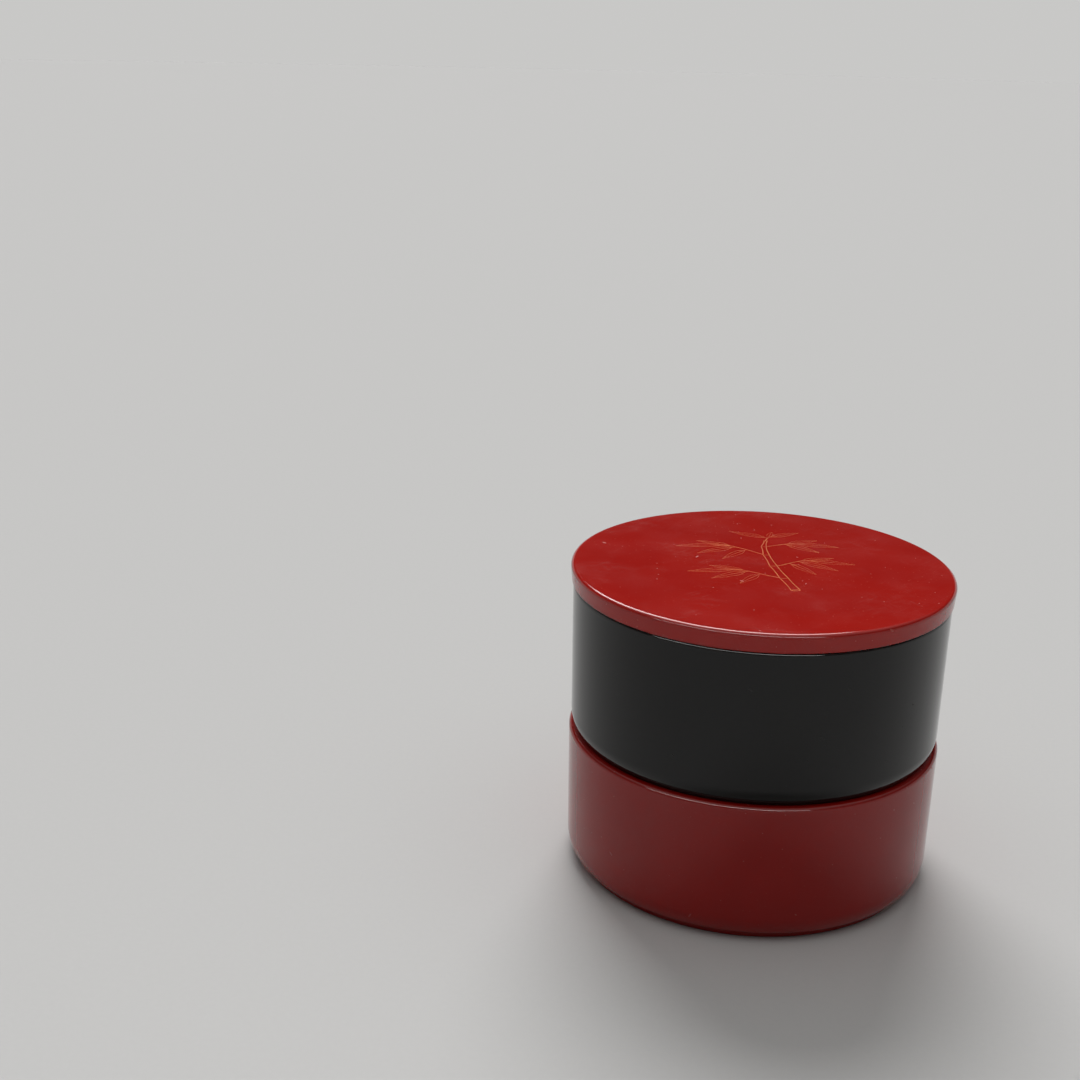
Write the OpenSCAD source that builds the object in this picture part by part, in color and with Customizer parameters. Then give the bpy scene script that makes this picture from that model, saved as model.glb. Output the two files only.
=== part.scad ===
// Round two-tier stacking box: two hoop-sided tiers and a flat lid, all lacquered.
// Every piece is turned about Z. The box stands on z = 0, on the lower tier's foot ring.
// A tier's own heights are counted from its ledge, the flat ring that stands on the rim below.

/* [Tiers] */
// Outer diameter of a tier at its rim
tier_d = 192.2; // [150:0.1:230]
// Height of the lower tier from its ledge to its rim
lower_h = 69; // [40:0.5:120]
// Height of the upper tier from its ledge to its rim
upper_h = 79; // [40:0.5:120]
// Thickness of a side hoop
wall_t = 5.5; // [5:0.1:9]
// How much a tier's radius shrinks from its rim down to its curved band
draft = 1; // [0:0.1:1.8]
// Rounding of the rim's outer edge
rim_round = 2.2; // [0.5:0.1:2.6]
// Rounding of the rim's inner edge
mouth_round = 0.5; // [0.2:0.1:1]
// Height of the curved band at the foot of a side
band_h = 8.8; // [5:0.1:14]
// How far the curved band comes inward
band_in = 2.7; // [1:0.1:3.4]
// Radius of the filler bead in a tier's inner corner
bead_r = 4; // [2:0.1:8]

/* [Bases] */
// Thickness of a base board
base_t = 4.5; // [3:0.1:8]
// Height of a foot ring
foot_h = 4.5; // [2:0.1:8]
// Width of a foot ring's wall
foot_w = 5; // [3:0.1:12]
// Rounding of a foot ring's outer lower edge
foot_round = 0.8; // [0.2:0.1:1.5]

/* [Lid] */
// How far the lid's side stands out past a tier's rim
lid_overhang = 1.4; // [0:0.1:4]
// Thickness of the lid's top board
lid_board_t = 5.2; // [4:0.1:8]
// Height of the lid's rim hoop
lid_hoop_h = 4.2; // [3:0.1:10]
// How much the lid's radius shrinks from its top edge down to its lower edge
lid_draft = 0.7; // [0:0.1:1.2]
// Rounding of the lid's top edge
lid_round = 2.2; // [0.5:0.1:3]
// Rounding of the lid's lower edge
lid_low_round = 0.4; // [0.2:0.1:0.8]
// How far the lid's seat ring reaches into the mouth
seat_depth = 4; // [2:0.1:8]
// Width of the seat ring's wall
seat_w = 3.6; // [2.5:0.1:8]
// Rounding of the seat ring's outer lower edge
seat_round = 0.8; // [0.2:0.1:1.2]
// Radius of the filler bead in the lid's inner corner
lid_bead_r = 2.4; // [1:0.1:5]

/* [Fits] */
// Radial play of a foot ring in the mouth below it
foot_play = 1.6; // [0.5:0.1:2.4]
// Radial play of the seat ring in the mouth below it
seat_play = 1; // [0.4:0.1:2]
// Thickness of a filler bead at its two thin edges
bead_edge = 0.2; // [0.1:0.05:0.4]

/* [Hidden] */

rim_r = tier_d / 2;
arris_r = rim_r - draft;
mouth_r = rim_r - wall_t;
floor_r = mouth_r - draft;
foot_r = mouth_r - foot_play;

// The band leaves the side upright and comes in by band_in over band_h
band_arc_r = (band_h ^ 2 + band_in ^ 2) / (2 * band_in);

lower_z = foot_h;
upper_z = lower_z + lower_h;
lid_z = upper_z + upper_h;

lid_r = rim_r + lid_overhang;
lid_low_r = lid_r - lid_draft;
lid_h = lid_hoop_h + lid_board_t;
lid_board_z = lid_z + lid_hoop_h;
seat_r = mouth_r - seat_play;
seat_in_r = seat_r - seat_w;

$fn = 96;

red = [0.48, 0.03, 0.02];
red_inside = [0.56, 0.05, 0.03];
black = [0.03, 0.03, 0.03];

// Radius of a tier's inner wall at height z, in a tier of height h
function inner_r(z, h) = floor_r + draft * (z - base_t) / (h - base_t);

// Radius of the lid's side at height z above its lower edge
function lid_side_r(z) =
    lid_low_r + lid_draft * (z - lid_low_round) / (lid_h - lid_round - lid_low_round);

// What lies outside the rounding of an upper right corner at (x, y), or of that corner turned
module corner_waste(x, y, r, turn = 0) {
    translate([x, y]) rotate(turn) translate([-r, -r]) difference() {
        square(2 * r);
        circle(r);
    }
}

// What lies outside the curved band
module band_waste() {
    difference() {
        translate([arris_r - band_in, 0]) square([2 * band_in, band_h]);
        translate([arris_r - band_arc_r, band_h]) circle(band_arc_r);
    }
}

// Bent side of a tier, with a rebate for the base board in its lower end
module side_hoop(h) {
    rotate_extrude() difference() {
        polygon([
            [floor_r, 0],
            [arris_r, 0],
            [arris_r, band_h],
            [rim_r, h - rim_round],
            [rim_r, h],
            [mouth_r, h],
            [mouth_r, h - mouth_round],
            [floor_r, base_t]
        ]);
        band_waste();
        corner_waste(rim_r, h, rim_round);
        corner_waste(mouth_r, h, mouth_round, 90);
    }
}

// Flat disc that closes the lower end of a side hoop
module base_board() {
    cylinder(h = base_t, r = floor_r);
}

// Ring that hangs from z = 0, rounded at its outer lower edge
module hanging_ring(r, w, h, edge_round) {
    rotate_extrude() difference() {
        translate([r - w, -h]) square([w, h]);
        corner_waste(r, -h, edge_round, -90);
    }
}

// Filler between the base board and the side of a tier of height h
module corner_bead(h) {
    leg = bead_r + bead_edge;
    rotate_extrude() difference() {
        polygon([
            [floor_r - leg, base_t],
            [floor_r, base_t],
            [inner_r(base_t + leg, h), base_t + leg],
            [floor_r - leg, base_t + leg]
        ]);
        translate([floor_r - leg, base_t + leg]) circle(bead_r);
    }
}

module lower_side_hoop() {
    color(red) translate([0, 0, lower_z]) side_hoop(lower_h);
}

module lower_base_board() {
    color(red_inside) translate([0, 0, lower_z]) base_board();
}

module lower_foot_ring() {
    color(red) translate([0, 0, lower_z]) hanging_ring(foot_r, foot_w, foot_h, foot_round);
}

module lower_corner_bead() {
    color(red_inside) translate([0, 0, lower_z]) corner_bead(lower_h);
}

module upper_side_hoop() {
    color(black) translate([0, 0, upper_z]) side_hoop(upper_h);
}

module upper_base_board() {
    color(red_inside) translate([0, 0, upper_z]) base_board();
}

module upper_foot_ring() {
    color(black) translate([0, 0, upper_z]) hanging_ring(foot_r, foot_w, foot_h, foot_round);
}

module upper_corner_bead() {
    color(red_inside) translate([0, 0, upper_z]) corner_bead(upper_h);
}

// Disc with the lid's rounded top edge
module lid_top_board() {
    color(red) translate([0, 0, lid_z]) rotate_extrude() difference() {
        polygon([
            [0, lid_hoop_h],
            [lid_side_r(lid_hoop_h), lid_hoop_h],
            [lid_r, lid_h - lid_round],
            [lid_r, lid_h],
            [0, lid_h]
        ]);
        corner_waste(lid_r, lid_h, lid_round);
    }
}

// Ring under the top board's edge, which stands on the upper tier's rim
module lid_rim_hoop() {
    color(red) translate([0, 0, lid_z]) rotate_extrude() difference() {
        polygon([
            [seat_r, 0],
            [lid_low_r, 0],
            [lid_low_r, lid_low_round],
            [lid_side_r(lid_hoop_h), lid_hoop_h],
            [seat_r, lid_hoop_h]
        ]);
        corner_waste(lid_low_r, 0, lid_low_round, -90);
    }
}

// Ring inside the rim hoop, which reaches down into the upper tier's mouth
module lid_seat_ring() {
    color(red_inside) translate([0, 0, lid_board_z])
        hanging_ring(seat_r, seat_w, lid_hoop_h + seat_depth, seat_round);
}

// Filler between the seat ring and the underside of the top board
module lid_corner_bead() {
    leg = lid_bead_r + bead_edge;
    color(red_inside) translate([0, 0, lid_board_z]) rotate_extrude() difference() {
        translate([seat_in_r - leg, -leg]) square(leg);
        translate([seat_in_r - leg, -leg]) circle(lid_bead_r);
    }
}

lower_side_hoop();
lower_base_board();
lower_foot_ring();
lower_corner_bead();
upper_side_hoop();
upper_base_board();
upper_foot_ring();
upper_corner_bead();
lid_top_board();
lid_rim_hoop();
lid_seat_ring();
lid_corner_bead();
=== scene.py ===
# %% [markdown]
# # A round stacking box in red and black lacquer
#
# The box is a set of two round tiers and a flat lid. Each is made of thin wood: a side bent to
# a hoop, a board let into it, and a ring under the board that nests in the mouth below. Many coats
# of lacquer hide every joint, so the eye sees one deep, glossy skin for each part.
# The lesson mixes the lacquers, models these skins as a turner would think of them, ring by ring
# about one axis, lays bamboo in thin gold lines on the lid, and lights the box softly.
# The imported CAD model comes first. It is the fixed frame that every piece here has to fit.

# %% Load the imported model
import math

import bpy
from mathutils import Euler, Matrix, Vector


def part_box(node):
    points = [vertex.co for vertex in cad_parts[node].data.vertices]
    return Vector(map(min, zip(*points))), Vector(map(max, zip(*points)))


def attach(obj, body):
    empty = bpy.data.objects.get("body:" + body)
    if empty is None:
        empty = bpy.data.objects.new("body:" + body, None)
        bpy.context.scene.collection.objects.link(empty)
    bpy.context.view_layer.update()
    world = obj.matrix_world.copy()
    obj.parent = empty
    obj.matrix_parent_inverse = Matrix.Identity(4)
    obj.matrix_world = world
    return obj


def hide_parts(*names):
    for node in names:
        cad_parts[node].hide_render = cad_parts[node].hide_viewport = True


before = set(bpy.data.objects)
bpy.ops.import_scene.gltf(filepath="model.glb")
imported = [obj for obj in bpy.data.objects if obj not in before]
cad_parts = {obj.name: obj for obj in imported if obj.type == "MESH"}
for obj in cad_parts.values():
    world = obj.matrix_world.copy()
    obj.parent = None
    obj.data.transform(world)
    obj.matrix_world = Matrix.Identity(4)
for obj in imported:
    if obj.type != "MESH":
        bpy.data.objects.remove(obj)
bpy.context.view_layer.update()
print("nodes:", sorted(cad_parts))

# %% [markdown]
# ## Sizes
#
# All sizes are in millimetres and follow the CAD model. Heights come from the boxes of its nodes,
# so the skins stay on the solids. The roundings have more steps than in the CAD, and the ledges and
# the rings get small ones of their own, because gloss lacquer catches the light at its edges.
# The radii of the lid are those of its sharp corners, before they are rounded.

# %% Sizes in millimetres
MM = 0.001

# Corners in a ring, and the radius of the smallest ring, which is filled to close a skin
SIDES = 192
AXIS_R = 2.0

# A rounding is its radius and its number of steps
RIM_R = 96.1
ARRIS_R = 95.1
MOUTH_R = 90.6
FLOOR_R = 89.6
RIM_ROUND = (2.2, 12)
MOUTH_ROUND = (0.5, 6)
BAND_H = 8.8
BAND_IN = 2.7
LEDGE_ROUND = (0.3, 4)
BASE_T = 4.5
COVE_R = 4.2
COVE_BITE = 0.06
FOOT_R = 89.0
FOOT_W = 5.0
LID_R = 97.61
LID_LOW_R = 96.78
LID_ROUND = (2.2, 14)
LID_LOW_ROUND = (0.4, 5)
SEAT_R = 89.6
SEAT_W = 3.6
LID_COVE_R = 2.6
RING_ROUND_OUT = (0.8, 6)
RING_ROUND_IN = (0.6, 5)

# How far a test by place reaches, from a tight one to a loose one, and how near doubles lie
NEAR = 0.02
CLOSE = 0.1
LOOSE = 1.0
DOUBLES = 0.001

# The lid's skin stays this much below the solid's top, to leave room for the gold lines
GOLD_ROOM = 0.06


def height_of(node, corner):
    """Lowest (corner 0) or highest (corner 1) point of a CAD node, in millimetres."""
    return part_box(node)[corner][2] / MM


lower_ledge = height_of("lower_side_hoop", 0)
lower_rim = height_of("lower_side_hoop", 1)
upper_ledge = height_of("upper_side_hoop", 0)
upper_rim = height_of("upper_side_hoop", 1)
lid_low = height_of("lid_rim_hoop", 0)
lid_board = height_of("lid_top_board", 0)
lid_top = height_of("lid_top_board", 1) - GOLD_ROOM
seat_low = height_of("lid_seat_ring", 0)
foot_low = height_of("lower_foot_ring", 0)
print("heights in mm:", lower_ledge, lower_rim, upper_ledge, upper_rim, lid_low, lid_top)

# %% [markdown]
# ## A turner's tools
#
# Every part of the box is round about the same upright axis. It could be made by spinning a drawn
# section. Raising it ring by ring from a circle is closer to how a turner reads a shape, and each
# ring can be checked by its radius and height. A section that is a closed loop is bridged at the
# end, and a section that starts and ends at the axis is filled there. The corners are left sharp at
# first and then bevelled, ring by ring, as they are on the lathe.

# %% Select nothing, or one piece alone
def select_nothing():
    """Leaves edit mode and deselects every object."""
    if bpy.context.object and bpy.context.object.mode != "OBJECT":
        bpy.ops.object.mode_set(mode="OBJECT")
    bpy.ops.object.select_all(action="DESELECT")


def select_piece(piece):
    """Selects one piece and makes it the active one."""
    select_nothing()
    piece.select_set(True)
    bpy.context.view_layer.objects.active = piece


# %% Raise a shape ring by ring
def raise_rings(name, rings):
    """Adds a circle at the first (radius, height) and extrudes it through the other rings."""
    select_nothing()
    radius, height = rings[0]
    bpy.ops.mesh.primitive_circle_add(vertices=SIDES, radius=radius * MM,
                                      location=(0, 0, height * MM))
    piece = bpy.context.object
    piece.name = name
    piece.data.name = name
    bpy.ops.object.transform_apply(location=True, rotation=False, scale=False)
    bpy.ops.object.mode_set(mode="EDIT")
    bpy.ops.mesh.select_mode(type="EDGE")
    bpy.ops.mesh.select_all(action="SELECT")
    for next_radius, next_height in rings[1:]:
        rise = (next_height - height) * MM
        spread = next_radius / radius
        bpy.ops.mesh.extrude_region_move(TRANSFORM_OT_translate={"value": (0, 0, rise)})
        bpy.ops.transform.resize(value=(spread, spread, 1), center_override=(0, 0, 0))
        radius, height = next_radius, next_height
    return piece


def select_open_rings():
    """Selects the rings at the two ends of the skin."""
    bpy.ops.mesh.select_all(action="DESELECT")
    bpy.ops.mesh.select_non_manifold(extend=False, use_wire=False, use_boundary=True,
                                     use_multi_face=False, use_non_contiguous=False,
                                     use_verts=False)


# %% Pick out a ring, or faces, by place
def clear_marks(piece):
    """Goes to object mode and takes every mark off the mesh, so that code can set its own."""
    bpy.ops.object.mode_set(mode="OBJECT")
    mesh = piece.data
    for part in (mesh.polygons, mesh.edges, mesh.vertices):
        part.foreach_set("select", [False] * len(part))
    return mesh


def pick_ring(piece, radius, height):
    """Selects the edges of the ring at this radius and height, and goes back to edit mode."""
    mesh = clear_marks(piece)
    near = NEAR * MM
    for vertex in mesh.vertices:
        x, y, z = vertex.co
        off_radius = abs(math.hypot(x, y) - radius * MM)
        vertex.select = off_radius < near and abs(z - height * MM) < near
    for edge in mesh.edges:
        edge.select = all(mesh.vertices[index].select for index in edge.vertices)
    bpy.ops.object.mode_set(mode="EDIT")


def soften_ring(piece, radius, height, rounding):
    """Bevels one sharp ring to a rounding."""
    reach, steps = rounding
    pick_ring(piece, radius, height)
    bpy.ops.mesh.bevel(offset=reach * MM, offset_type="OFFSET", segments=steps,
                       profile=0.5, affect="EDGES")


def coat_faces(piece, is_coated, slot_index):
    """Gives one of the piece's materials to the faces that a test on radius and height picks."""
    mesh = clear_marks(piece)
    for face in mesh.polygons:
        x, y, z = face.center
        face.select = is_coated(math.hypot(x, y) / MM, z / MM)
    picked = sum(face.select for face in mesh.polygons)
    bpy.ops.object.mode_set(mode="EDIT")
    bpy.ops.mesh.select_mode(type="FACE")
    piece.active_material_index = slot_index
    bpy.ops.object.material_slot_assign()
    bpy.ops.object.mode_set(mode="OBJECT")
    print(piece.name, "has", picked, "faces in", piece.material_slots[slot_index].name)


# %% Close a section and finish a skin
SMOOTH_SKIN = math.radians(40)


def close_loop(piece):
    """Bridges the last ring to the first one, so that the section is a closed loop."""
    select_open_rings()
    bpy.ops.mesh.bridge_edge_loops()


def close_ends(piece):
    """Fills the small ring that is left at each end, on the axis."""
    select_open_rings()
    bpy.ops.mesh.fill_holes(sides=SIDES)


def finish_skin(piece):
    """Points the faces outwards and smooths the skin, with the big faces ruling the shading."""
    select_piece(piece)
    bpy.ops.object.mode_set(mode="EDIT")
    bpy.ops.mesh.select_all(action="SELECT")
    bpy.ops.mesh.remove_doubles(threshold=DOUBLES * MM)
    bpy.ops.mesh.normals_make_consistent(inside=False)
    bpy.ops.object.mode_set(mode="OBJECT")
    bpy.ops.object.shade_smooth_by_angle(angle=SMOOTH_SKIN)
    bpy.ops.object.modifier_add(type="WEIGHTED_NORMAL")
    piece.modifiers[-1].keep_sharp = True
    bpy.ops.object.modifier_apply(modifier=piece.modifiers[-1].name)
    size = [round(value / MM, 2) for value in piece.dimensions]
    print(piece.name, "faces:", len(piece.data.polygons), "size in mm:", size)


# %% [markdown]
# ## Mixing lacquer
#
# Lacquer is built up in thin coats and polished. Its colour sits under a clear, hard gloss, so the
# shader is a plain dielectric with a low roughness. What makes it look real is what disturbs the
# gloss: a slow waviness from polishing by hand, hairlines from wiping, faint smudges, and dust.
# All of it is procedural and reads Object coordinates, so neighbouring pieces match at their joints.
# The patterns are small functions that return one socket each, because every lacquer here is
# a different mix of the same few things.

# %% Node helpers
def add_node(tree, kind, inputs=None, **settings):
    """Adds a node, sets its properties and its input values, and links inputs that are sockets."""
    made = tree.nodes.new(kind)
    for name, value in settings.items():
        setattr(made, name, value)
    for name, value in (inputs or {}).items():
        if isinstance(value, bpy.types.NodeSocket):
            tree.links.new(value, made.inputs[name])
        else:
            made.inputs[name].default_value = value
    return made


def calculate(tree, operation, first, second=0.0, third=None):
    """One Math node."""
    inputs = {0: first, 1: second}
    if third is not None:
        inputs[2] = third
    return add_node(tree, "ShaderNodeMath", inputs, operation=operation).outputs[0]


def blend_colours(tree, amount, first, second):
    """Goes from the first colour to the second as the amount goes from 0 to 1."""
    made = add_node(tree, "ShaderNodeMix", data_type="RGBA")
    for index, value in ((0, amount), (6, first), (7, second)):
        if isinstance(value, bpy.types.NodeSocket):
            tree.links.new(value, made.inputs[index])
        elif index == 0:
            made.inputs[index].default_value = value
        else:
            made.inputs[index].default_value = (*value, 1)
    return made.outputs[2]


def remap(tree, value, low, high, new_low, new_high):
    """Stretches the range low to high onto new_low to new_high, clamped."""
    inputs = {"Value": value, "From Min": low, "From Max": high, "To Min": new_low,
              "To Max": new_high}
    return add_node(tree, "ShaderNodeMapRange", inputs, clamp=True).outputs[0]


def new_material(name):
    """A material with its node tree, its shader and its Object coordinates."""
    material = bpy.data.materials.new(name)
    material.use_nodes = True
    tree = material.node_tree
    shader = tree.nodes["Principled BSDF"]
    place = add_node(tree, "ShaderNodeTexCoord").outputs["Object"]
    return material, tree, shader, place


# %% Maps of the surface
def skin_map(tree):
    """Flat places give x and y, upright places give the way round from the front and the height."""
    coordinates = add_node(tree, "ShaderNodeTexCoord")
    place = add_node(tree, "ShaderNodeSeparateXYZ", {"Vector": coordinates.outputs["Object"]})
    normal = add_node(tree, "ShaderNodeSeparateXYZ", {"Vector": coordinates.outputs["Normal"]})
    x, y, z = place.outputs
    angle = calculate(tree, "ARCTAN2", x, calculate(tree, "MULTIPLY", y, -1.0))
    around = calculate(tree, "MULTIPLY", angle, RIM_R * MM)
    is_flat = calculate(tree, "GREATER_THAN", calculate(tree, "ABSOLUTE", normal.outputs[2]), 0.7)
    flat = add_node(tree, "ShaderNodeCombineXYZ", {"X": x, "Y": y})
    upright = add_node(tree, "ShaderNodeCombineXYZ", {"X": around, "Y": z})
    chosen = add_node(tree, "ShaderNodeMix", data_type="VECTOR")
    tree.links.new(is_flat, chosen.inputs[0])
    tree.links.new(upright.outputs[0], chosen.inputs[4])
    tree.links.new(flat.outputs[0], chosen.inputs[5])
    radius = calculate(tree, "POWER", calculate(tree, "ADD", calculate(tree, "MULTIPLY", x, x),
                                                calculate(tree, "MULTIPLY", y, y)), 0.5)
    return chosen.outputs[1], radius, z


def near_ring(tree, radius, z, ring, reach):
    """From 1 on a ring of this (radius, height) down to 0 at this reach from it."""
    off_r = calculate(tree, "SUBTRACT", radius, ring[0] * MM)
    off_z = calculate(tree, "SUBTRACT", z, ring[1] * MM)
    squares = calculate(tree, "ADD", calculate(tree, "MULTIPLY", off_r, off_r),
                        calculate(tree, "MULTIPLY", off_z, off_z))
    return remap(tree, calculate(tree, "POWER", squares, 0.5), 0.2 * reach * MM, reach * MM, 1, 0)


# %% Patterns on the gloss
def cloud(tree, place, size, detail=2.0, shift=0.0):
    """Soft noise from 0 to 1 whose lumps are about this size in millimetres."""
    moved = add_node(tree, "ShaderNodeMapping", {"Vector": place, "Location": (shift, shift, shift)})
    inputs = {"Vector": moved.outputs[0], "Scale": 1 / (size * MM), "Detail": detail}
    return add_node(tree, "ShaderNodeTexNoise", inputs).outputs[0]


def hairlines(tree, skin, turn, length, width, rarity, shift):
    """Long thin marks on the skin map, of about this length and width in millimetres."""
    turned = add_node(tree, "ShaderNodeMapping", {"Vector": skin, "Rotation": (0, 0, turn)})
    stretched = add_node(tree, "ShaderNodeMapping",
                         {"Vector": turned.outputs[0], "Location": (shift, shift * 2, shift),
                          "Scale": (1 / (length * MM), 1 / (width * MM), 1)})
    noise = add_node(tree, "ShaderNodeTexNoise",
                     {"Vector": stretched.outputs[0], "Scale": 1.0, "Detail": 0.0}).outputs[0]
    return remap(tree, noise, rarity, rarity + 0.06, 0.0, 1.0)


def specks(tree, skin, spacing, size, share, stretch=1.0, turn=0.0):
    """Dots or dashes of this size on the skin map, in a share of the cells of this spacing."""
    turned = add_node(tree, "ShaderNodeMapping", {"Vector": skin, "Rotation": (0, 0, turn)})
    squeezed = add_node(tree, "ShaderNodeMapping",
                        {"Vector": turned.outputs[0], "Scale": (1 / stretch, 1, 1)})
    cells = add_node(tree, "ShaderNodeTexVoronoi",
                     {"Vector": squeezed.outputs[0], "Scale": 1 / (spacing * MM)},
                     voronoi_dimensions="2D")
    split = add_node(tree, "ShaderNodeSeparateColor", {"Color": cells.outputs["Color"]})
    radius = remap(tree, split.outputs[1], 0.0, 1.0, 0.25 * size / spacing, 0.6 * size / spacing)
    dot = calculate(tree, "LESS_THAN", cells.outputs["Distance"], radius)
    return calculate(tree, "MULTIPLY", dot, calculate(tree, "LESS_THAN", split.outputs[0], share))


def strongest(tree, marks):
    """The largest of several masks."""
    most = marks[0]
    for more in marks[1:]:
        most = calculate(tree, "MAXIMUM", most, more)
    return most


# %% A lacquer
def mix_lacquer(name, colour, deep, dust, wear_and_highlight_tone, edges=(), gloss=(0.08, 0.13), marks=1.0,
                index=1.42):
    """A lacquer with its deeper tone, its dust, and the tone of its edges: wear, and on the black
    lacquer also a painted highlight.
    """
    material, tree, shader, place = new_material(name)
    skin, radius, z = skin_map(tree)
    tone = remap(tree, cloud(tree, place, 45.0, 3.0), 0.35, 0.7, 0.0, 1.0)
    paint = blend_colours(tree, tone, colour, deep)
    # Near the edge rings the colour turns to the edge tone, which is wear and, on the black lacquer, a
    # painted highlight
    if edges:
        rim_wear_and_highlight = strongest(tree, [near_ring(tree, radius, z, ring, 1.5) for ring in edges])
        patchy = remap(tree, cloud(tree, place, 7.0, 5.0, 4.0), 0.40, 0.62, 0.25, 1.0)
        paint = blend_colours(tree, calculate(tree, "MULTIPLY", rim_wear_and_highlight, patchy), paint, wear_and_highlight_tone)

    # Hairlines come in three directions and in patches, and the marks in loose drifts
    lines = strongest(tree, [hairlines(tree, skin, 0.15, 26, 0.35, 0.70, 1.3),
                             hairlines(tree, skin, 1.05, 17, 0.35, 0.71, 4.1),
                             hairlines(tree, skin, 2.30, 21, 0.35, 0.71, 7.7)])
    lines = calculate(tree, "MULTIPLY", lines,
                      remap(tree, cloud(tree, place, 40, 2.0, 3.0), 0.45, 0.62, 0.0, 1.0))
    dots = strongest(tree, [specks(tree, skin, 9.0, 0.6, 0.16),
                            specks(tree, skin, 21.0, 1.0, 0.22, 2.2, 0.6),
                            specks(tree, skin, 26.0, 0.9, 0.2, 3.0, 2.1)])
    drifts = remap(tree, cloud(tree, place, 38, 2.0, 9.0), 0.44, 0.62, 0.15, 1.0)
    dust_marks = calculate(tree, "MULTIPLY", specks(tree, skin, 3.6, 0.75, 0.3), drifts)
    haze = calculate(tree, "MULTIPLY",
                     remap(tree, cloud(tree, place, 14, 5.0, 5.0), 0.56, 0.78, 0.0, 1.0),
                     cloud(tree, place, 1.1, 4.0, 1.0))

    # Each mark lightens the colour a little
    for mask, strength in ((haze, 0.025), (lines, 0.03), (dots, 0.16), (dust_marks, 0.13)):
        amount = calculate(tree, "MULTIPLY", mask, strength * marks)
        paint = blend_colours(tree, amount, paint, dust)
    tree.links.new(paint, shader.inputs["Base Color"])

    # The gloss goes from one roughness to the other in soft patches, and is duller on the marks
    rough = remap(tree, cloud(tree, place, 28, 5.0, 2.0), 0.35, 0.7, gloss[0], gloss[1])
    for mask, strength in ((lines, 0.08), (haze, 0.07), (dots, 0.40)):
        rough = calculate(tree, "MULTIPLY_ADD", mask, strength, rough)
    tree.links.new(rough, shader.inputs["Roughness"])
    shader.inputs["IOR"].default_value = index

    # The surface waves slowly, has a fine peel, and is nicked by the marks
    wave = add_node(tree, "ShaderNodeBump", {"Strength": 1.0, "Distance": 0.013 * MM,
                                             "Height": cloud(tree, place, 42, 1.0, 6.0)})
    peel = add_node(tree, "ShaderNodeBump", {"Strength": 1.0, "Distance": 0.001 * MM,
                                             "Height": cloud(tree, place, 2.2, 2.0, 8.0),
                                             "Normal": wave.outputs[0]})
    cuts = add_node(tree, "ShaderNodeBump", {"Strength": 0.5, "Distance": 0.004 * MM,
                                             "Height": calculate(tree, "SUBTRACT", dots, lines),
                                             "Normal": peel.outputs[0]})
    tree.links.new(cuts.outputs[0], shader.inputs["Normal"])
    print("mixed", name)
    return material


# %% The four lacquers
# An edge is a ring (radius, height); on a rounded rim it lies inside the sharp corner
SHOULDER = 0.6
lid_lacquer = mix_lacquer("vermilion_lid_lacquer", (0.37, 0.007, 0.003), (0.34, 0.005, 0.002),
                          (0.75, 0.24, 0.18), (0.27, 0.006, 0.003),
                          edges=[(LID_LOW_R, lid_low)])
# The black's edge tone is lighter than the black: rim wear, and a painted highlight along the shoulder
# under the lid
black_lacquer = mix_lacquer("black_tier_lacquer", (0.0035, 0.0033, 0.0032),
                            (0.0025, 0.0022, 0.002), (0.09, 0.085, 0.08), (0.035, 0.024, 0.018),
                            edges=[(RIM_R - SHOULDER, upper_rim - SHOULDER)],
                            gloss=(0.06, 0.10), marks=0.4, index=1.38)
# The tier's red is deeper than the lid's: partly its own deeper red, partly painted shade for the dim
# light on the upright sides
shaded_red_lacquer = mix_lacquer("deep_red_and_painted_shade_lacquer", (0.30, 0.005, 0.003), (0.27, 0.004, 0.002),
                          (0.55, 0.18, 0.14), (0.24, 0.006, 0.003),
                          edges=[(RIM_R - SHOULDER, lower_rim - SHOULDER),
                                 (ARRIS_R - BAND_IN, lower_ledge), (FOOT_R, foot_low)],
                          marks=0.4)
inside_lacquer = mix_lacquer("satin_red_inside_lacquer", (0.38, 0.010, 0.005),
                             (0.34, 0.008, 0.004), (0.62, 0.25, 0.20), (0.30, 0.008, 0.004),
                             gloss=(0.20, 0.32), marks=0.6)

# %% [markdown]
# ## The tiers
#
# A tier's side is a hoop that leans out a little towards its rim and curves in at its foot, so that
# the tier above seems to float on a fine line of shadow. It is raised as one closed section: up the
# inner wall, over the rim, down the outside, round the band and back under the ledge.
# The band is an arc that leaves the side upright. Its radius follows from its height and its depth.

# %% The curved band at the foot of a side
BAND_STEPS = 12
band_arc_r = (BAND_H ** 2 + BAND_IN ** 2) / (2 * BAND_IN)


def band_rings(ledge):
    """The arc from the side down to the ledge, as (radius, height) pairs."""
    sweep = math.asin(BAND_H / band_arc_r)
    rings = []
    for step in range(BAND_STEPS + 1):
        turn = sweep * step / BAND_STEPS
        rings.append((ARRIS_R - band_arc_r * (1 - math.cos(turn)),
                      ledge + BAND_H - band_arc_r * math.sin(turn)))
    return rings


print("band arc radius in mm:", round(band_arc_r, 2))

# %% A side hoop
def make_side(name, ledge, rim, outside):
    """The hoop of a tier, with the outside lacquer on it and the inside one within its mouth."""
    band = band_rings(ledge)
    lowest_r = band[-1][0]
    rings = [(FLOOR_R, ledge), (FLOOR_R, ledge + BASE_T), (MOUTH_R, rim), (RIM_R, rim)]
    side = raise_rings(name, rings + band)
    close_loop(side)
    soften_ring(side, RIM_R, rim, RIM_ROUND)
    soften_ring(side, MOUTH_R, rim, MOUTH_ROUND)
    soften_ring(side, lowest_r, ledge, LEDGE_ROUND)
    finish_skin(side)
    side.data.materials.append(outside)
    side.data.materials.append(inside_lacquer)
    coat_faces(side, lambda r, z: r < MOUTH_R + 0.9 * MOUTH_ROUND[0] and z > ledge + LOOSE, 1)
    return side


lower_side = make_side("lower_side", lower_ledge, lower_rim, shaded_red_lacquer)
upper_side = make_side("upper_side", upper_ledge, upper_rim, black_lacquer)

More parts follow.
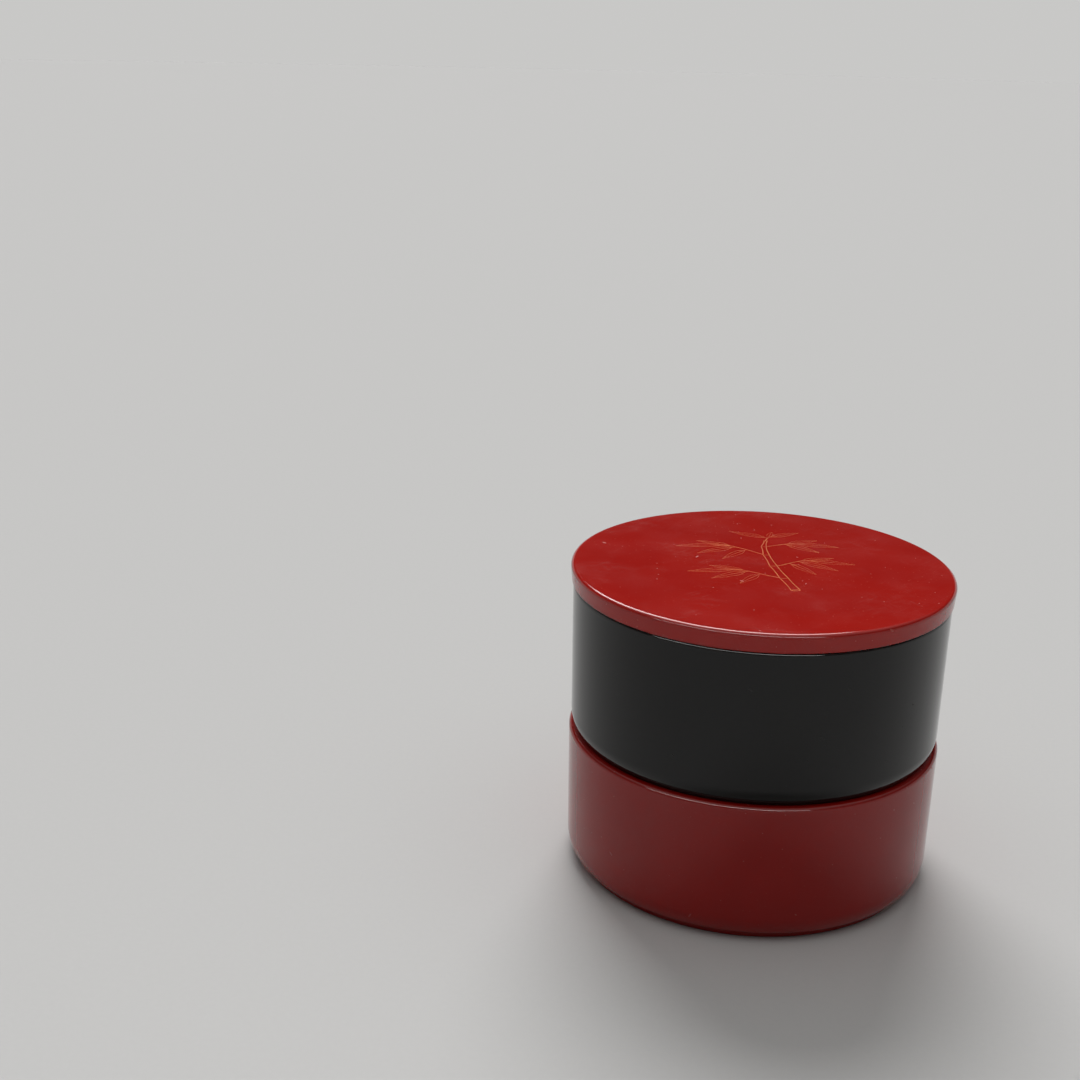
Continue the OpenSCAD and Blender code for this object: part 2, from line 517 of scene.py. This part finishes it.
# %% [markdown]
# ## Floor and foot
#
# The floor of a tier is a flat board, and lacquer filler rounds the corner where it meets the side,
# so that food is wiped out easily. Board and filler read as one surface, so they are one piece here.
# The foot is a plain ring under the board. Its lower edges are well rounded, because they slide over
# the rim below each time that the box is stacked. Both are made once and copied to the upper tier.

# %% The floor with its cove
COVE_STEPS = 10


def cove_rings(centre_r, centre_z, radius, up):
    """A quarter arc from the flat out to the wall. Up is 1 for a floor and -1 for a ceiling."""
    rings = []
    for step in range(COVE_STEPS + 1):
        turn = math.pi / 2 * step / COVE_STEPS
        rings.append((centre_r + radius * math.sin(turn), centre_z - up * radius * math.cos(turn)))
    return rings


floor_top = lower_ledge + BASE_T
# The cove reaches a little into the side, so that no gap shows between them
cove_centre_r = FLOOR_R + COVE_BITE - COVE_R
# Some rings on the flats keep their faces short
rings = [(AXIS_R, floor_top)]
rings += [(radius, floor_top) for radius in (30.0, 60.0, 80.0)]
rings += cove_rings(cove_centre_r, floor_top + COVE_R, COVE_R, 1)
rings += [(FLOOR_R, floor_top), (FLOOR_R, lower_ledge)]
rings += [(radius, lower_ledge) for radius in (60.0, 30.0, AXIS_R)]
lower_floor = raise_rings("lower_floor", rings)
close_ends(lower_floor)
finish_skin(lower_floor)

# %% The foot ring
foot_in = FOOT_R - FOOT_W
lower_foot = raise_rings("lower_foot", [(foot_in, foot_low), (FOOT_R, foot_low),
                                        (FOOT_R, lower_ledge), (foot_in, lower_ledge)])
close_loop(lower_foot)
soften_ring(lower_foot, FOOT_R, foot_low, RING_ROUND_OUT)
soften_ring(lower_foot, foot_in, foot_low, RING_ROUND_IN)
finish_skin(lower_foot)


# %% Copies for the upper tier
def copy_up(piece, name, rise):
    """A copy with its own mesh, moved up by some millimetres."""
    select_piece(piece)
    bpy.ops.object.duplicate(linked=False)
    copied = bpy.context.object
    copied.name = name
    copied.data.name = name
    bpy.ops.object.mode_set(mode="EDIT")
    bpy.ops.mesh.select_all(action="SELECT")
    bpy.ops.transform.translate(value=(0, 0, rise * MM))
    bpy.ops.object.mode_set(mode="OBJECT")
    return copied


tier_rise = upper_ledge - lower_ledge
upper_floor = copy_up(lower_floor, "upper_floor", tier_rise)
upper_foot = copy_up(lower_foot, "upper_foot", tier_rise)
print("copied floor and foot up by", round(tier_rise, 2), "mm")

# %% Lacquer on the floors and feet
for floor_piece, ledge, outside in ((lower_floor, lower_ledge, shaded_red_lacquer),
                                    (upper_floor, upper_ledge, black_lacquer)):
    floor_piece.data.materials.append(inside_lacquer)
    floor_piece.data.materials.append(outside)
    coat_faces(floor_piece, lambda r, z: z < ledge + CLOSE, 1)
lower_foot.data.materials.append(shaded_red_lacquer)
upper_foot.data.materials.append(black_lacquer)

# %% [markdown]
# ## The lid
#
# The lid is a flat board with a rounded edge and a low ring under it. Lacquer hides the joint between
# the two, so one skin stands for both. It starts at the axis on top, goes out over the edge, down the
# side and under it, and back along the underside. A second ring inside it reaches into the mouth of
# the tier and keeps the lid in place.

# %% The lid's skin
lid_shell = raise_rings("lid_shell", [
    (AXIS_R, lid_top), (30.0, lid_top), (60.0, lid_top), (85.0, lid_top), (LID_R, lid_top),
    (LID_LOW_R, lid_low), (SEAT_R, lid_low), (SEAT_R, lid_board), (60.0, lid_board),
    (30.0, lid_board), (AXIS_R, lid_board)])
close_ends(lid_shell)
soften_ring(lid_shell, LID_R, lid_top, LID_ROUND)
soften_ring(lid_shell, LID_LOW_R, lid_low, LID_LOW_ROUND)
finish_skin(lid_shell)
lid_shell.data.materials.append(lid_lacquer)
lid_shell.data.materials.append(inside_lacquer)
coat_faces(lid_shell, lambda r, z: r < SEAT_R - CLOSE and z < lid_top - LOOSE, 1)

# %% The seat ring
seat_in = SEAT_R - SEAT_W
rings = [(SEAT_R, seat_low), (SEAT_R, lid_board)]
rings += cove_rings(seat_in - LID_COVE_R, lid_board - LID_COVE_R, LID_COVE_R, -1)
rings += [(seat_in, seat_low)]
lid_seat = raise_rings("lid_seat", rings)
close_loop(lid_seat)
soften_ring(lid_seat, SEAT_R, seat_low, RING_ROUND_OUT)
soften_ring(lid_seat, seat_in, seat_low, RING_ROUND_IN)
finish_skin(lid_seat)
lid_seat.data.materials.append(inside_lacquer)

# %% [markdown]
# ## Bamboo in gold
#
# The lid's top carries a picture in fine gold lines. Here it is a stalk of bamboo with its leaves, an
# old pattern that belongs to nobody. Such lines are drawn in wet lacquer and dusted with gold, so they
# stand up by a few hundredths of a millimetre. Each line is a curve with a round section, made a mesh
# and pressed flat to a lens that is half sunk in the lacquer. One leaf is drawn and then copied.

# %% Draw one line
# The height of a line as a share of its width, and the pieces that its curve is cut into
LINE_FLATNESS = 0.2
LINE_STEPS = 14
SMOOTH_LINE = math.radians(70)


def draw_line(name, points, width, ends=(1.0, 1.0)):
    """A curve through a start, two handles and an end, in millimetres, pressed to a thin lens."""
    select_nothing()
    bpy.ops.curve.primitive_bezier_curve_add(location=(0, 0, 0))
    line = bpy.context.object
    line.name = name
    start, lead_out, lead_in, end = [(x * MM, y * MM, 0) for x, y in points]
    first, last = line.data.splines[0].bezier_points
    for point in (first, last):
        point.handle_left_type = "FREE"
        point.handle_right_type = "FREE"
    first.co, first.handle_left, first.handle_right = start, start, lead_out
    last.co, last.handle_left, last.handle_right = end, lead_in, end
    first.radius, last.radius = ends
    line.data.resolution_u = LINE_STEPS
    line.data.bevel_depth = width / 2 * MM
    line.data.bevel_resolution = 1
    line.data.use_fill_caps = True
    bpy.ops.object.convert(target="MESH")
    line = bpy.context.object
    bpy.ops.object.mode_set(mode="EDIT")
    bpy.ops.mesh.select_all(action="SELECT")
    bpy.ops.mesh.remove_doubles(threshold=DOUBLES * MM)
    bpy.ops.transform.resize(value=(1, 1, LINE_FLATNESS), center_override=(0, 0, 0))
    bpy.ops.object.mode_set(mode="OBJECT")
    return line


def join_lines(lines, name):
    """Joins drawn lines to one piece, with their places in its mesh."""
    select_nothing()
    for line in lines:
        line.select_set(True)
    bpy.context.view_layer.objects.active = lines[0]
    bpy.ops.object.transform_apply(location=True, rotation=True, scale=True)
    bpy.ops.object.join()
    joined = bpy.context.object
    joined.name = name
    joined.data.name = name
    return joined


# %% One leaf, drawn from its stem along x
LEAF_LENGTH = 30.0
LEAF_DROOP = 2.4
OUTLINE_W = 0.40
VEIN_W = 0.26


def drooped(points):
    """Lets the points sink with the square of their way along the leaf."""
    return [(x, y - LEAF_DROOP * (x / LEAF_LENGTH) ** 2) for x, y in points]


rib = [(0, 0), (9, 0), (18, 0), (28.5, 0)]
leaf_lines = [draw_line("leaf_rib", drooped(rib), OUTLINE_W, (1.1, 0.5))]
for side in (1, -1):
    edge = [(2.6, 0), (7.5, 4.7 * side), (16.5, 3.3 * side), (LEAF_LENGTH, 0)]
    vein = [(5.2, 0.9 * side), (9.5, 2.2 * side), (16.5, 1.9 * side), (25.5, 0.25 * side)]
    leaf_lines.append(draw_line("leaf_edge", drooped(edge), OUTLINE_W, (0.8, 0.6)))
    leaf_lines.append(draw_line("leaf_vein", drooped(vein), VEIN_W, (0.7, 0.4)))
leaf = join_lines(leaf_lines, "leaf")
print("faces in a leaf:", len(leaf.data.polygons))

# %% The stalk, joint by joint
STALK_W = 0.48
# The nodes of the stalk from its foot up, as (x, y, width)
STALK = [(17.5, -42, 4.6), (12.8, -23, 4.2), (8.6, -3, 3.7),
         (6.0, 16, 3.1), (5.6, 31, 2.4), (7.6, 42, 1.4)]
bamboo_lines = []


def draw_joint(lower, upper):
    """The two sides between two nodes of the stalk, a little hollow, and the ring at the upper one."""
    x, y, low_width = lower
    top_width = upper[2]
    run, climb = upper[0] - x, upper[1] - y
    length = math.hypot(run, climb)
    up_x, up_y = run / length, climb / length

    def beside(along, out):
        """A point along the joint and out to its left, in millimetres."""
        return x + up_x * along - up_y * out, y + up_y * along + up_x * out

    for side in (1, -1):
        points = [beside(0.5, side * (low_width / 2 + 0.25)),
                  beside(length * 0.3, side * (low_width / 2 - 0.25)),
                  beside(length * 0.7, side * (top_width / 2 - 0.25)),
                  beside(length - 0.5, side * (top_width / 2 + 0.25))]
        bamboo_lines.append(draw_line("stalk_side", points, STALK_W))
    reach = top_width / 2 + 0.5
    ring = [beside(length + 0.25, reach), beside(length - 0.45, reach * 0.4),
            beside(length - 0.45, -reach * 0.4), beside(length + 0.25, -reach)]
    bamboo_lines.append(draw_line("stalk_ring", ring, STALK_W, (0.8, 0.8)))


for lower, upper in zip(STALK, STALK[1:]):
    draw_joint(lower, upper)
foot_x, foot_y, foot_width = STALK[0]
for bow in (-1.2, 1.2):
    cut = [(foot_x - foot_width * 0.52, foot_y - 0.35), (foot_x - foot_width / 4, foot_y - 0.35 + bow),
           (foot_x + foot_width / 4, foot_y + 0.3 + bow), (foot_x + foot_width * 0.52, foot_y + 0.35)]
    bamboo_lines.append(draw_line("stalk_cut", cut, STALK_W))
print("lines in the stalk:", len(bamboo_lines))


# %% Twigs, and the leaves on them
def along_curve(points, share):
    """The point at a share of a curve that is given by its start, two handles and end."""
    rest = 1 - share
    weights = (rest ** 3, 3 * rest ** 2 * share, 3 * rest * share ** 2, share ** 3)
    return [sum(weight * point[axis] for weight, point in zip(weights, points)) for axis in (0, 1)]


def lay_leaf(root, facing, length, spread):
    """A copy of the leaf at its root, turned to the degrees that it faces, drooping to the front."""
    select_piece(leaf)
    bpy.ops.object.duplicate(linked=False)
    copied = bpy.context.object
    droops_to = 1 if math.cos(math.radians(facing)) > 0 else -1
    copied.scale = (length / LEAF_LENGTH, spread * droops_to, 1)
    copied.rotation_euler = (0, 0, math.radians(facing))
    copied.location = (root[0] * MM, root[1] * MM, 0)
    bamboo_lines.append(copied)


TWIG_W = 0.54
# Each twig is its curve, and its leaves as (share of the way, degrees faced, length, spread)
TWIGS = [
    ([(4.4, 16.5), (-2, 22), (-9, 29), (-17, 31)],
     [(1.0, 184, 28, 1.0), (0.80, 152, 22, 0.85), (0.74, 207, 26, 0.95), (0.45, 226, 23, 0.85)]),
    ([(10.5, -2.7), (16, 0), (21, 7), (28, 9)],
     [(1.0, -5, 27, 1.0), (0.80, 26, 21, 0.85), (0.74, -28, 25, 0.95), (0.45, -48, 22, 0.85)]),
    ([(10.6, -22.4), (3, -20), (-4, -13), (-12, -11.5)],
     [(1.0, 187, 28, 1.0), (0.80, 155, 21, 0.85), (0.74, 209, 25, 0.95), (0.45, 229, 21, 0.80)]),
    ([(6.9, 31.3), (12, 33), (17, 38), (23, 38.5)],
     [(1.0, -3, 26, 1.0), (0.78, 30, 20, 0.85), (0.70, -30, 23, 0.95)]),
    ([(7.6, 42.2), (8, 45), (9, 47.5), (10, 49)],
     [(1.0, 36, 21, 0.85), (1.0, 84, 11, 0.55), (0.7, 150, 24, 0.9)]),
]
for twig, leaves in TWIGS:
    bamboo_lines.append(draw_line("twig", twig, TWIG_W, (1.0, 0.7)))
    for share, facing, length, spread in leaves:
        lay_leaf(along_curve(twig, share), facing, length, spread)
print("twigs:", len(TWIGS), "leaves:", sum(len(leaves) for twig, leaves in TWIGS))

# %% Join the lines and lay them on the lid
BAMBOO_SCALE = 0.92
BAMBOO_X, BAMBOO_Y = -2.0, 3.0
LINE_SINK = 0.015
gold_bamboo = join_lines(bamboo_lines, "gold_bamboo")
bpy.data.objects.remove(leaf)
bpy.ops.object.mode_set(mode="EDIT")
bpy.ops.mesh.select_all(action="SELECT")
bpy.ops.mesh.normals_make_consistent(inside=False)
bpy.ops.transform.resize(value=(BAMBOO_SCALE, BAMBOO_SCALE, 1), center_override=(0, 0, 0))
bpy.ops.transform.translate(value=(BAMBOO_X * MM, BAMBOO_Y * MM, (lid_top - LINE_SINK) * MM))
bpy.ops.object.mode_set(mode="OBJECT")
bpy.ops.object.shade_smooth_by_angle(angle=SMOOTH_LINE)
print("gold bamboo faces:", len(gold_bamboo.data.polygons))

# %% The gold
gold, tree, shader, place = new_material("rubbed_gold_line")
wear = remap(tree, cloud(tree, place, 9, 4.0), 0.42, 0.62, 0.0, 1.0)
grain = cloud(tree, place, 0.5, 2.0, 4.0)
bright = blend_colours(tree, grain, (0.58, 0.145, 0.028), (0.50, 0.115, 0.020))
tree.links.new(blend_colours(tree, wear, bright, (0.46, 0.080, 0.015)), shader.inputs["Base Color"])
tree.links.new(remap(tree, grain, 0.3, 0.7, 0.38, 0.52), shader.inputs["Roughness"])
shader.inputs["Metallic"].default_value = 0.25
shader.inputs["Specular IOR Level"].default_value = 0.05
gold_bamboo.data.materials.clear()
gold_bamboo.data.materials.append(gold)
print("mixed", gold.name)

# %% [markdown]
# ## Every piece rides on its body
#
# The lid and each tier lift straight up in the CAD model. Each row gives a piece, the body that
# carries it, the record's finish, and the CAD solids that it stands for. The piece is hung on its body
# and those solids are hidden; the finish is not used by this code.

# %% Bodies, finishes and CAD nodes
RIDES = [
    (lower_side, "lower_tier", "lower_outside", ["lower_side_hoop"]),
    (lower_floor, "lower_tier", "inside_red", ["lower_base_board", "lower_corner_bead"]),
    (lower_foot, "lower_tier", "lower_outside", ["lower_foot_ring"]),
    (upper_side, "upper_tier", "upper_outside", ["upper_side_hoop"]),
    (upper_floor, "upper_tier", "inside_red", ["upper_base_board", "upper_corner_bead"]),
    (upper_foot, "upper_tier", "upper_outside", ["upper_foot_ring"]),
    (lid_shell, "lid", "lid_outside", ["lid_top_board", "lid_rim_hoop"]),
    (lid_seat, "lid", "inside_red", ["lid_seat_ring", "lid_corner_bead"]),
    (gold_bamboo, "lid", "gold_line", []),
]
for piece, body, finish, nodes in RIDES:
    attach(piece, body)
    if nodes:
        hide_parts(*nodes)
print("pieces:", len(RIDES))

# %% [markdown]
# ## The studio
#
# The box stands on a plain, pale, flat floor before a backdrop of the same tone. Gloss lacquer shows
# whatever lies low around it, so the world throws little light from there and more from overhead:
# the reds stay deep and the lid still gets full light. The gloss mirrors a pale band at the horizon
# and a dark room above it, as it would in a studio, and the camera sees the pale tone everywhere.

# %% The floor
# The floor is spread from its outer edge inwards, and its last ring is filled
FLOOR_LEVEL = -0.1
FLOOR_RINGS = (14000, 4200, 1300, 400)
studio_floor = raise_rings("studio_floor", [(radius, FLOOR_LEVEL) for radius in FLOOR_RINGS])
bpy.ops.mesh.edge_face_add()
bpy.ops.mesh.select_all(action="SELECT")
bpy.ops.mesh.normals_make_consistent(inside=True)
bpy.ops.object.mode_set(mode="OBJECT")
print("floor across, in metres:", round(studio_floor.dimensions.x, 1))

pale, tree, shader, place = new_material("pale_studio_floor")
speckle = cloud(tree, place, 3.0, 3.0)
tree.links.new(blend_colours(tree, speckle, (0.53, 0.526, 0.52), (0.55, 0.546, 0.54)),
               shader.inputs["Base Color"])
shader.inputs["Roughness"].default_value = 0.95
shader.inputs["Specular IOR Level"].default_value = 0.1
studio_floor.data.materials.append(pale)

# %% The world: what it throws as light, what gloss mirrors of it, and what the camera sees
world = bpy.data.worlds.new("studio_sky")
bpy.context.scene.world = world
world.use_nodes = True
sky = world.node_tree
way = add_node(sky, "ShaderNodeTexCoord").outputs["Generated"]
rise = add_node(sky, "ShaderNodeSeparateXYZ", {"Vector": way}).outputs["Z"]


def sky_ramp(levels):
    """Grey levels by the height that a direction rises to, from 0 at the horizon to 1 overhead."""
    ramp = add_node(sky, "ShaderNodeValToRGB", {"Fac": rise})
    stops = ramp.color_ramp.elements
    for number, (at, value) in enumerate(levels):
        stop = stops[number] if number < 2 else stops.new(at)
        stop.position = at
        stop.color = (value, value, value * 0.99, 1)
    return ramp.outputs["Color"]


# The backdrop's tone is that of the lit floor; the other levels are (height, grey)
BACKDROP = (0.580, 0.577, 0.568)
BAND = [(0.0, 0.575), (0.21, 0.575), (0.26, 0.03)]
LOW_LIGHT = [(0.0, 0.10), (0.20, 0.03)]
OVERHEAD = [(0.42, 0.04), (0.62, 0.28), (0.85, 0.78)]
thrown = sky_ramp(LOW_LIGHT + OVERHEAD)
mirrored = sky_ramp(BAND + OVERHEAD)
ray = add_node(sky, "ShaderNodeLightPath").outputs
in_gloss = strongest(sky, [ray["Is Glossy Ray"], ray["Is Transmission Ray"]])
tone = blend_colours(sky, in_gloss, thrown, mirrored)
tone = blend_colours(sky, ray["Is Camera Ray"], tone, BACKDROP)
background = sky.nodes["Background"]
sky.links.new(tone, background.inputs["Color"])
background.inputs["Strength"].default_value = 1.0
print("the backdrop's tone, as the camera sees it:", BACKDROP)


# %% [markdown]
# ## Two lamps
#
# A narrow strip lamp in front, half way up, is seen only in the gloss. It draws the thin bright lines
# along the rounded rims, by which the eye tells lacquer from plain paint. A wide, soft sun from high
# behind lights the lid and lays the box's shadow towards the viewer.

# %% The lamps
BOX_MIDDLE = (0, 0, 0.08)
STRIP_PLACE = (-0.40, -1.27, 1.32)
STRIP_SIZE = (3.4, 0.32)
STRIP_WATTS = 31.0
SUN_PLACE = (-0.15, 1.4, 1.55)
SUN_STRENGTH = 2.6
SUN_WIDTH = math.radians(36)


def add_lamp(kind, name, place, power):
    """A lamp that looks at the middle of the box."""
    select_nothing()
    bpy.ops.object.light_add(type=kind, location=place)
    lamp = bpy.context.object
    lamp.name = name
    lamp.data.energy = power
    across, along, rise = [t - p for t, p in zip(BOX_MIDDLE, place)]
    lamp.rotation_euler = (math.pi / 2 + math.atan2(rise, math.hypot(across, along)), 0,
                           math.atan2(-across, along))
    return lamp


edge_lamp = add_lamp("AREA", "front_edge_lamp", STRIP_PLACE, STRIP_WATTS)
edge_lamp.data.shape = "RECTANGLE"
edge_lamp.data.size, edge_lamp.data.size_y = STRIP_SIZE
edge_lamp.visible_diffuse = False
back_sun = add_lamp("SUN", "high_back_sun", SUN_PLACE, SUN_STRENGTH)
back_sun.data.angle = SUN_WIDTH
print("lamps:", edge_lamp.name, edge_lamp.data.energy, back_sun.name, back_sun.data.energy)

# %% [markdown]
# ## The camera
#
# Its place and its lens were fitted to the outlines of the lid and of both tiers in the photograph, by
# their known sizes. It looks down at 18 degrees, with the box low and to the right in the frame.

# %% The camera
# Place in metres, lens in millimetres, and the turns down, sideways and about the view in radians
CAMERA_PLACE = (-0.0717, -0.7790, 0.4253)
LENS = 53.33
PITCH, YAW, ROLL = 0.3152, -0.054, 0.0226
select_nothing()
bpy.ops.object.camera_add(location=CAMERA_PLACE)
camera = bpy.context.object
camera.data.sensor_width = 36.0
camera.data.lens = LENS
camera.data.clip_start = 0.05
camera.data.clip_end = 30.0
camera.rotation_mode = "QUATERNION"
look_down = Euler((math.pi / 2 - PITCH, 0, 0)).to_matrix()
camera.rotation_quaternion = (Matrix.Rotation(-YAW, 3, "Z") @ look_down
                              @ Matrix.Rotation(ROLL, 3, "Z")).to_quaternion()
bpy.context.scene.camera = camera
bpy.context.scene.view_settings.view_transform = "Standard"
print("camera at", [round(value, 4) for value in camera.location], "lens", camera.data.lens)
